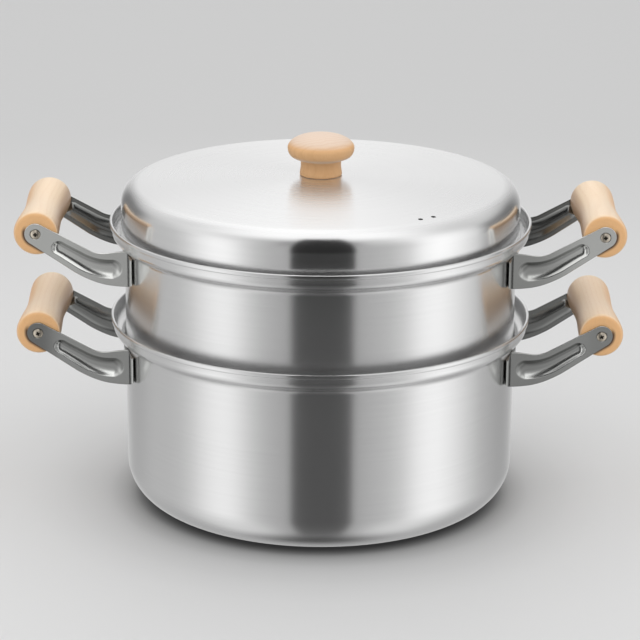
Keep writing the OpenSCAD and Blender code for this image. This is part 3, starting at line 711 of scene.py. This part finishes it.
armOutY = gripHalf + bracket["sheet"]
bendOut = bracket["bend"] + bracket["sheet"]
webIn = sheet["bodyRadius"] + bracket["weldGap"]
bendY = armOutY - bendOut
bendX = sqrt((webIn + bendOut) ** 2 - bendY ** 2)
bendTurn = degrees(asin(bendY / (webIn + bendOut)))
rootZ = -bracket["drop"] + bracket["rootHalf"]
rise = radians(bracket["rise"])
climbX = gripX + (rootZ + gripDrop) / tan(rise)
rootLen = climbX - bracket["curve"] * tan(rise / 2) - bendX
curveLen = bracket["curve"] * rise
climbLen = (gripX - climbX) / cos(rise) - bracket["curve"] * tan(rise / 2)
armLen = rootLen + curveLen + climbLen


def armPoint(s):
    # Place and heading of the arm's centre line, in X and Z from the rim
    heading = min(max(s - rootLen, 0), curveLen) / curveLen * rise
    past = max(s - rootLen - curveLen, 0)
    x = bendX + min(s, rootLen) + bracket["curve"] * sin(heading) + past * cos(rise)
    z = rootZ + bracket["curve"] * (1 - cos(heading)) + past * sin(rise)
    return x, z, heading


def armHalf(s):
    turned = rootLen + curveLen
    if s < turned:
        return mix(bracket["rootHalf"], bracket["midHalf"], ease(max(s, 0) / turned))
    return mix(bracket["midHalf"], bracket["tab"], (s - turned) / climbLen)


def bracketStations():
    # From the middle of the web to the end of one tab: (kind, place along that stretch)
    web = [("web", bendTurn * i / bracket["webSteps"]) for i in range(bracket["webSteps"])]
    bend = [("bend", i / bracket["bendSteps"]) for i in range(bracket["bendSteps"])]
    arm = [("arm", armLen * i / bracket["armSteps"]) for i in range(bracket["armSteps"])]
    tab = [("tab", 90 * i / bracket["tabSteps"]) for i in range(bracket["tabSteps"] + 1)]
    return web + bend + arm + tab


def stationEdges(kind, place, inset):
    # Lower and upper point on the outer face, and the face's outward direction
    webTop = -rimHeight - bracket["webClearance"]
    low = -bracket["drop"] + inset
    if kind == "web":
        a = radians(place)
        x, y, out = webIn * cos(a), webIn * sin(a), (-cos(a), -sin(a), 0)
        return (x, y, low), (x, y, webTop - inset), out
    if kind == "bend":
        a = radians(mix(180 + bendTurn, 90, place))
        x, y, out = bendX + bendOut * cos(a), bendY + bendOut * sin(a), (cos(a), sin(a), 0)
        climb = ease(min(1, max(0, (x - bendX + bracket["ramp"]) / bracket["ramp"])))
        return (x, y, low), (x, y, mix(webTop, rootZ + bracket["rootHalf"], climb) - inset), out
    if kind == "arm":
        x, z, heading = armPoint(place)
        half = armHalf(place) - inset
        over = 0
    else:
        x, z, heading = armPoint(armLen)
        half = (bracket["tab"] - inset) * cos(radians(place))
        over = (bracket["tab"] - inset) * sin(radians(place))
    x, z = x + over * cos(heading), z + over * sin(heading)
    side, up = -half * sin(heading), half * cos(heading)
    return (x - side, armOutY, z - up), (x + side, armOutY, z + up), (0, 1, 0)


def beadDepth(kind, s, across):
    # Depth of the pressed groove at a distance along the arm and across it
    if kind != "arm":
        return 0
    start, end = bead["rootIn"], armLen - (grip["end"] - grip["round"]) - bead["tipGap"]
    share = min(1, max(0, (s - start) / (end - start)))
    width = mix(bead["rootHalf"], bead["tipHalf"], min(1, share / bead["taperShare"]))
    past = max(start + bead["rootHalf"] - s, s - end + bead["tipHalf"], 0)
    u = hypot(across, past) / width
    if u >= 1:
        return 0
    # Round at the bottom, steep at the edge
    shape = mix((1 + cos(pi * u ** bead["fullness"])) / 2, 1 - u * u, bead["bowlShare"])
    return mix(bead["rootDepth"], bead["tipDepth"], share) * shape


def flipped(point, side):
    return np.array((point[0], point[1] * side, point[2]))


def edgeRings():
    # Inset and depth of each step round the sheet's edge, from the outer face to the inner one
    turns = [radians(90 * k / bracket["edgeSteps"]) for k in range(1, bracket["edgeSteps"] + 1)]
    rounding = [(bracket["edge"] * (1 - sin(a)), bracket["edge"] * (1 - cos(a))) for a in turns]
    return rounding + [(inset, bracket["sheet"] - depth) for inset, depth in rounding[:0:-1]]


def bracketMesh(name):
    # Outer and inner face as two grids of points, joined by the rings of the rounded edge
    stations = bracketStations()
    stations = ([(kind, place, -1) for kind, place in reversed(stations)]
                + [(kind, place, 1) for kind, place in stations[1:]])
    rows, columns = len(stations), bracket["across"]
    outer = np.zeros((rows, columns + 1, 3))
    flat = np.zeros((rows, 3))
    for i, (kind, place, side) in enumerate(stations):
        low, high, out = (flipped(p, side) for p in stationEdges(kind, place, bracket["edge"]))
        flat[i] = -out
        reach = np.linalg.norm(high - low) / 2
        for j in range(columns + 1):
            v = 2 * j / columns - 1
            outer[i, j] = mix(low, high, j / columns) - out * beadDepth(kind, place, v * reach)
    inner = outer + surfaceNormals(outer, flat) * bracket["sheet"]
    points = [tuple(p) for face in (outer, inner) for p in face.reshape(-1, 3)]
    innerStart = rows * (columns + 1)
    faces = []
    for i in range(rows - 1):
        for j in range(columns):
            a, b = i * (columns + 1) + j, (i + 1) * (columns + 1) + j
            faces.append((a, b, b + 1, a + 1))
            faces.append((innerStart + a, innerStart + a + 1, innerStart + b + 1, innerStart + b))
    around = [(i, 0) for i in range(rows)] + [(i, 1) for i in range(rows - 2, 0, -1)]
    loops = [[i * (columns + 1) + edge * columns for i, edge in around]]
    for inset, depth in edgeRings():
        loops.append(list(range(len(points), len(points) + len(around))))
        for i, edge in around:
            kind, place, side = stations[i]
            points.append(tuple(flipped(stationEdges(kind, place, inset)[edge], side) + flat[i] * depth))
    loops.append([innerStart + k for k in loops[0]])
    for first, second in zip(loops, loops[1:]):
        for k in range(len(first)):
            n = (k + 1) % len(first)
            faces.append((first[k], second[k], second[n], first[n]))
    return meshObject(name, points, faces, bracket["sharpAngle"])


def surfaceNormals(grid, fallback):
    # Unit normals of the outer face, pointing into the sheet
    along = np.gradient(grid, axis=0)
    across = np.gradient(grid, axis=1)
    normal = np.cross(along, across)
    length = np.linalg.norm(normal, axis=2, keepdims=True)
    flat = np.repeat(fallback[:, None, :], grid.shape[1], axis=1)
    normal = np.where(length > meshing["noNormal"], normal / np.maximum(length, meshing["noNormal"]), flat)
    sign = np.sign(np.sum(normal * flat, axis=2, keepdims=True))
    normal = normal * np.where(sign == 0, 1, sign)
    # Two columns along each edge keep the flat normal, so that the sheet's edge stays even
    within = np.zeros(grid.shape[:2] + (1,))
    within[:, 2:-2] = 1
    normal = normal * within + flat * (1 - within)
    return normal / np.linalg.norm(normal, axis=2, keepdims=True)


def bracketRight():
    piece = bracketMesh("bracket_blank")
    sink = (screwHead["diameter"] - screwHead["shank"]) / 2
    hole = screwHead["shank"] / 2 + screwHead["holeGap"]
    mouth = screwHead["diameter"] / 2 + screwHead["sinkGap"]
    outline = [(0, -sink * 2), (hole, -sink * 2), (hole, -sink), (mouth, 0), (mouth, sink), (0, sink)]
    punches = []
    for side in (-1, 1):
        punch = spin("punch", outline, bracket["punchSides"])
        moveMesh(punch, Matrix.Rotation(radians(-90 * side), 4, "X"))
        punches.append(moveMesh(punch, shifted(gripX, side * armOutY, -gripDrop)))
    cutAway(piece, punches, bracket["sharpAngle"])
    return piece


blank = bracketRight()
mirrorX = Matrix.Scale(-1, 4, (1, 0, 0))
for body, level in handleLevel.items():
    for side in ("left", "right"):
        piece = moveMesh(newObject(f"{body}_bracket_{side}_stamping", blank.data.copy()), shifted(z=level))
        if side == "left":
            moveMesh(piece, mirrorX)
        finishPiece(piece, bracketSteels[body], body, [f"{body}_bracket_{side}"])
bpy.data.objects.remove(blank)
print("brackets made")


# wooden grips and knob

def gripOutline():
    edgeY = gripHalf - grip["round"]
    flat = grip["end"] - grip["round"]
    bore = grip["bore"] / 2
    barrel = [(mix(grip["waist"], grip["end"], ease(abs(v))), edgeY * v)
              for v in (2 * i / grip["steps"] - 1 for i in range(1, grip["steps"]))]
    first = arcPoints((flat, -edgeY), grip["round"], -90, 0, grip["roundSteps"])
    last = arcPoints((flat, edgeY), grip["round"], 0, 90, grip["roundSteps"])
    return [(bore, -gripHalf)] + first + barrel + last + [(bore, gripHalf)]


# Where the middle of the tree lies from each grip's own middle, in X and Z
gripPiths = {("pot", "left"): (9, 3), ("pot", "right"): (-16, 8), ("steamer", "left"): (14, -9),
             ("steamer", "right"): (-7, -13)}
for (body, side), (pithX, pithZ) in gripPiths.items():
    x, z = gripX if side == "right" else -gripX, gripMiddle[body].z
    piece = spin(f"{body}_grip_{side}_turned", gripOutline(), grip["turns"], grip["sharpAngle"])
    moveMesh(piece, Matrix.Rotation(radians(90), 4, "X"))
    moveMesh(piece, shifted(x, 0, z))
    wood = beechWood(f"beech_{body}_{side}", "Y", (x + pithX, 0, z + pithZ),
                     tabShadow=(x, z, bracket["tab"], rise))
    finishPiece(piece, wood, body, [f"{body}_grip_{side}"])

knob = {
    "height": 25.6, "cap": 20.5, "capZ": 17.2, "neck": 12.4, "foot": 13.0, "footRise": 6.0, "neckTop": 7.6,
    "footRound": 0.9, "fillet": 3.5, "filletEnd": 115, "edgePower": 0.85, "crownPower": 1.05, "bore": 8.7,
    "boreDepth": 13.1, "pith": (-6, 11), "roundSteps": 5, "neckSteps": 10, "capSteps": 24, "turns": 96,
    "sharpAngle": 50,
}


def knobPiece():
    under = (knob["neck"] + knob["fillet"], knob["neckTop"])
    underZ = knob["neckTop"] + knob["fillet"]
    dome = knob["height"] - knob["capZ"]
    bore = knob["bore"] / 2
    neck, cap = knob["neckSteps"], knob["capSteps"]
    outline = [(0, knob["boreDepth"]), (bore, knob["boreDepth"]), (bore, 0)]
    outline += arcPoints((knob["foot"] - knob["footRound"], knob["footRound"]), knob["footRound"], -90, 0,
                         knob["roundSteps"])
    outline += [(mix(knob["foot"], knob["neck"], ease(i / neck)),
                 mix(knob["footRound"], knob["footRise"], i / neck)) for i in range(1, neck + 1)]
    outline += arcPoints(under, knob["fillet"], 180, knob["filletEnd"], neck)
    for i in range(1, cap + 1):
        a = radians(-90 + 90 * i / cap)
        outline.append((mix(under[0], knob["cap"], cos(a)), knob["capZ"] + (knob["capZ"] - underZ) * sin(a)))
    for i in range(1, cap + 1):
        a = radians(90 * i / cap)
        outline.append((knob["cap"] * max(cos(a), 0) ** knob["edgePower"],
                        knob["capZ"] + dome * sin(a) ** knob["crownPower"]))
    outline[-1] = (0, knob["height"])
    piece = spin("knob_turned", outline, knob["turns"], knob["sharpAngle"])
    return moveMesh(piece, shifted(z=lidTopZ))


knobWood = beechWood("beech_knob", "Z", (*knob["pith"], lidTopZ), knobBeech)
finishPiece(knobPiece(), knobWood, "lid", ["knob"])
print("wood made")


# screws

def screwTree():
    # One screw on each point, its head turned out along Y
    graph, inputs = geometryTree("screws_on_grips", {
        "Geometry": "NodeSocketGeometry", "Screw": "NodeSocketObject", "Material": "NodeSocketMaterial",
        "Turn": "NodeSocketFloat", "Seed": "NodeSocketInt"})
    shape = graph.add("GeometryNodeObjectInfo", {}, {"Object": inputs["Screw"]}, "Geometry")
    outward = graph.calc("SIGN", graph.parts(graph.add("GeometryNodeInputPosition"))[1])
    spinTurn = graph.add("FunctionNodeRandomValue", {"data_type": "FLOAT"},
                         {2: -inputs["Turn"], 3: inputs["Turn"], "Seed": inputs["Seed"]}, 1)
    turn = graph.add("ShaderNodeCombineXYZ", {}, {0: outward * radians(-90), 2: 0.0})
    points = graph.add("GeometryNodeMeshToPoints", {}, {"Mesh": inputs["Geometry"]})
    placed = graph.add("GeometryNodeInstanceOnPoints", {}, {"Points": points, "Instance": shape,
                                                            "Rotation": turn})
    spun = graph.add("GeometryNodeRotateInstances", {}, {
        "Instances": placed, "Local Space": True,
        "Rotation": graph.add("ShaderNodeCombineXYZ", {}, {2: spinTurn})})
    return endTree(graph, spun, inputs["Material"])


def screwPattern():
    # Countersunk head with a low crown, a short shank and a cross recess, standing on z = 0
    radius, shank, crown = screwHead["diameter"] / 2, screwHead["shank"] / 2, screwHead["crown"]
    sink = radius - shank
    ball = (radius ** 2 + crown ** 2) / (2 * crown)
    swing = degrees(asin(radius / ball)) * screwHead["crownStartShare"]
    low, high = screwHead["rim"]
    outline = [(0, -screwHead["shankLength"]), (shank, -screwHead["shankLength"]), (shank, -sink),
               (radius, low), (radius, high)]
    outline += arcPoints((0, crown - ball), ball, 90 - swing, 90, screwHead["steps"])
    outline[-1] = (0, crown)
    head = spin("screw_pattern", outline, screwHead["turns"], screwHead["sharpAngle"])
    width = screwHead["diameter"] * screwHead["recessShare"]
    deep = sink * screwHead["depthShare"] + crown
    blades = []
    for turn in (0, 90):
        cutter = taperedBlade("blade", width, width * screwHead["bladeShare"], deep)
        moveMesh(cutter, shifted(z=crown))
        blades.append(moveMesh(cutter, Matrix.Rotation(radians(turn), 4, "Z")))
    cutAway(head, blades, screwHead["sharpAngle"])
    # The material paints shade on faces inside the recess, and a little on the brim
    recess = head.data.attributes.new("recess", "FLOAT", "FACE")
    below, above = screwHead["recessSlack"]
    for face in head.data.polygons:
        x, y, z = face.center * perMetre
        top = crown - ball + sqrt(max(ball ** 2 - x * x - y * y, 0))
        sunk = hypot(x, y) < width / 2 and -deep - below < z < top - above
        brim = hypot(x, y) > radius * screwHead["brimShare"] and z > -screwHead["brimDepth"]
        recess.data[face.index].value = 1.0 if sunk else screwHead["brimShade"] * brim
    return head


driver = {"footShare": 0.2, "spreadShare": 1.2, "over": 0.5}


def taperedBlade(name, width, blade, deep):
    # Wedge of a cross-head driver: narrow at the bottom, running out above the head
    foot = width * driver["footShare"]
    points = []
    for x, y, z in ((foot, blade / 2, -deep), (width / 2, blade / 2 * driver["spreadShare"], driver["over"])):
        points += [(-x, -y, z), (x, -y, z), (x, y, z), (-x, y, z)]
    faces = [(3, 2, 1, 0), (4, 5, 6, 7), (0, 1, 5, 4), (1, 2, 6, 5), (2, 3, 7, 6), (3, 0, 4, 7)]
    return meshObject(name, points, faces)


pattern = screwPattern()
places = screwTree()
for number, (body, middle) in enumerate(gripMiddle.items()):
    spots = [(x * gripX, y * armOutY, middle.z) for x in (-1, 1) for y in (-1, 1)]
    screws = meshObject(f"{body}_screws", spots, [])
    runTree(screws, places, {
        "Screw": pattern, "Material": screwSteel, "Turn": radians(screwHead["turnLimit"]),
        "Seed": screwHead["firstSeed"] + number})
    tidyMesh(screws.data, screwHead["sharpAngle"])
    finishPiece(screws, screwSteel, body,
                [f"{body}_screw_{side}_{end}" for side in ("left", "right") for end in ("front", "rear")])
bpy.data.objects.remove(pattern)

# Hidden fasteners keep the solids' own meshes
hiddenFinishes = {f"{body}_sleeve_{side}": sleeveSteel for body in gripMiddle for side in ("left", "right")}
hiddenFinishes.update({"knob_insert": brass, "knob_washer": sleeveSteel, "knob_screw": screwSteel})
for node, material in hiddenFinishes.items():
    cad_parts[node].data.materials.clear()
    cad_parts[node].data.materials.append(material)
print("fasteners made")


# floor, light and camera

# walls, upper, shine and gaps go round in degrees from the camera's side, and spans are degrees of height.
# floorHalf and the rings of painted shade are in metres, the rings from the pot's axis.
studio = {
    "background": 0.57, "floor": srgb(222, 222, 222), "floorHalf": 8.0, "floorRoughness": 0.6, "gain": 1.4,
    "floorShadeRings": [(0.0, 0.05), (0.1, 0.05), (0.108, 0.12), (0.117, 0.5), (0.132, 0.8), (0.16, 0.95),
                   (0.22, 1.0), (1.0, 0.83)],
    "walls": [(-180, 0.95), (-165, 0.72), (-150, 0.53), (-135, 0.53), (-120, 0.57), (-108, 0.58), (-97, 0.6),
              (-88, 0.65), (-80, 0.78), (-72, 0.96), (-65, 1.08), (-58, 1.12), (-51, 1.04), (-45, 0.86),
              (-38, 0.67), (-30, 0.54), (-20, 0.48), (22, 0.48), (32, 0.53), (42, 0.61), (52, 0.8),
              (59, 1.05), (66, 1.17), (73, 1.2), (80, 1.13), (88, 1.0), (96, 0.84), (106, 0.69), (120, 0.58),
              (140, 0.47), (160, 0.6), (180, 0.95)],
    "upper": [(-180, 1.36), (-165, 1.24), (-150, 1.0), (-120, 0.78), (-90, 0.91), (-75, 0.9), (-60, 0.82),
              (-45, 0.66), (-30, 0.48), (-18, 0.38), (-7, 1.15), (7, 1.15), (18, 0.42), (30, 0.6),
              (45, 0.78), (60, 0.98), (75, 0.98), (90, 0.82), (110, 0.7), (135, 0.8), (150, 0.88),
              (165, 1.02), (180, 1.36)],
    "upperSpan": (12, 42), "ceiling": 1.26, "ceilingSpan": (42, 80),
    "shine": [(-180, 0.52), (-112, 0.52), (-88, 0.8), (-48, 0.8), (-24, 0.5), (24, 0.5), (48, 0.8), (88, 0.8),
              (112, 0.52), (180, 0.52)],
    "shineSpan": (-48, -24), "shade": 0.05, "shadeSpan": (-84, -60),
    "gaps": [(-180, 0), (-165, 0.2), (-154, 1), (-128, 1), (-112, 0), (98, 0), (110, 1), (142, 1),
             (158, 0.2), (180, 0)],
    "gapDepth": 0.6, "gapLow": (-20, -8), "gapHigh": (10, 28),
}


def studioWorld():
    # What metal sees: grey and bright walls all round, a white ceiling, a pale floor and the shade on it
    world = bpy.data.worlds.new("studio")
    world.use_nodes = True
    world.node_tree.nodes.clear()
    scene.world = world
    graph = Graph(world.node_tree)
    x, y, z = graph.parts(graph.add("ShaderNodeTexCoord", {}, {}, "Generated"))
    turn = (graph.calc("ARCTAN2", x, -y) * (180 / pi) + 180) / 360
    height = graph.calc("ARCSINE", z) * (180 / pi)

    def around(stops, scale=studio["gain"]):
        places = [((angle + 180) / 360, level / scale) for angle, level in stops]
        return graph.add("ShaderNodeValToRGB", {"stops": places}, {0: turn})

    def even(level):
        return (level / studio["gain"],) * 3 + (1,)

    upper = graph.smooth(height, *studio["upperSpan"])
    ceiling = graph.smooth(height, *studio["ceilingSpan"])
    shine = 1 - graph.smooth(height, *studio["shineSpan"])
    shade = 1 - graph.smooth(height, *studio["shadeSpan"])
    level = graph.blend(upper, around(studio["walls"]), around(studio["upper"]))
    level = graph.blend(ceiling, level, even(studio["ceiling"]))
    level = graph.blend(shine, level, around(studio["shine"]))
    level = graph.blend(shade, level, even(studio["shade"]))
    gap = graph.smooth(height, *studio["gapLow"]) * (1 - graph.smooth(height, *studio["gapHigh"]))
    strength = (1 - around(studio["gaps"], 1) * gap * studio["gapDepth"]) * studio["gain"]
    seen = graph.add("ShaderNodeLightPath", {}, {}, "Is Camera Ray")
    plain = graph.add("ShaderNodeBackground", {}, {"Color": (studio["background"],) * 3 + (1,)})
    shown = graph.add("ShaderNodeBackground", {}, {"Color": level, "Strength": strength})
    both = graph.add("ShaderNodeMixShader", {}, {0: seen, 1: shown, 2: plain})
    graph.add("ShaderNodeOutputWorld", {}, {"Surface": both})


card = {"left": -83, "right": 98, "front": -340, "bottom": -500, "top": 850,
        "shades": [(-371, 0.3), (-96, 0.2), (40, 0.155), (116, 0.1), (159, 0.03)]}


def plate(name, corners):
    return meshObject(name, corners, [(0, 1, 2, 3)])


def darkCard():
    # The black card in front, which only the metal sees
    x0, x1, y, low, high = (card[side] for side in ("left", "right", "front", "bottom", "top"))
    panel = plate("dark_card", [(x0, y, low), (x1, y, low), (x1, y, high), (x0, y, high)])
    material, graph = newMaterial("card_black")
    height = graph.parts(graph.surface()[0])[2] * perMetre
    steps = [(z, (level,) * 3 + (1,)) for z, level in card["shades"]]
    colour = steps[0][1]
    for (start, _), (end, shade) in zip(steps, steps[1:]):
        colour = graph.blend(graph.smooth(height, start, end), colour, shade)
    showSurface(graph, {"Color": colour}, "ShaderNodeBsdfDiffuse")
    panel.data.materials.append(material)
    panel.visible_camera = False
    panel.visible_diffuse = False
    panel.visible_shadow = False
    panel.visible_transmission = False


def paleFloor():
    # Painted shade: a painted contact shadow darkest under the pot, palest a hand's breadth from it, then
    # slowly dimmer
    half = studio["floorHalf"] * perMetre
    floor = plate("floor", [(-half, -half, 0), (half, -half, 0), (half, half, 0), (-half, half, 0)])
    material, graph = newMaterial("floor_paint")
    reach = graph.vector("LENGTH", graph.surface()[0], output=1)
    ringShade = graph.add("ShaderNodeValToRGB", {"stops": studio["floorShadeRings"]}, {0: reach})
    showSurface(graph, {
        "Base Color": graph.times(studio["floor"], ringShade), "Roughness": studio["floorRoughness"]})
    floor.data.materials.append(material)
    floor.visible_glossy = False


# Metres and radians. The focal length and the picture's side are in pixels, the sensor in millimetres.
view = {"distance": 1.5524, "height": 0.5967, "pitch": 0.3032, "roll": 0.006, "focal": 2600.0, "sensor": 36.0,
        "picture": 640}


def placeCamera():
    camera = bpy.data.cameras.new("camera")
    camera.sensor_width = view["sensor"]
    camera.lens = view["focal"] / view["picture"] * view["sensor"]
    obj = newObject("camera", camera)
    obj.matrix_world = (Matrix.Translation((0, -view["distance"], view["height"]))
                        @ Matrix.Rotation(pi / 2 - view["pitch"], 4, "X")
                        @ Matrix.Rotation(view["roll"], 4, "Z"))
    scene.camera = obj


# place and aim are in millimetres, size in metres
lamp = {"place": (0, -1500, 1900), "aim": (0, 0, 100), "size": 1.6, "power": 9.0}


def softLamp():
    # One large soft lamp above the camera for wood and floor: the metal sees the studio's walls instead
    light = bpy.data.lights.new("soft_lamp", "AREA")
    light.size = lamp["size"]
    light.energy = lamp["power"]
    obj = newObject("soft_lamp", light)
    place, aim = Vector(lamp["place"]), Vector(lamp["aim"])
    aimed = (aim - place).to_track_quat("-Z", "Y").to_matrix().to_4x4()
    obj.matrix_world = Matrix.Translation(place / perMetre) @ aimed
    obj.visible_glossy = False


studioWorld()
softLamp()
paleFloor()
darkCard()
placeCamera()
print("studio made")
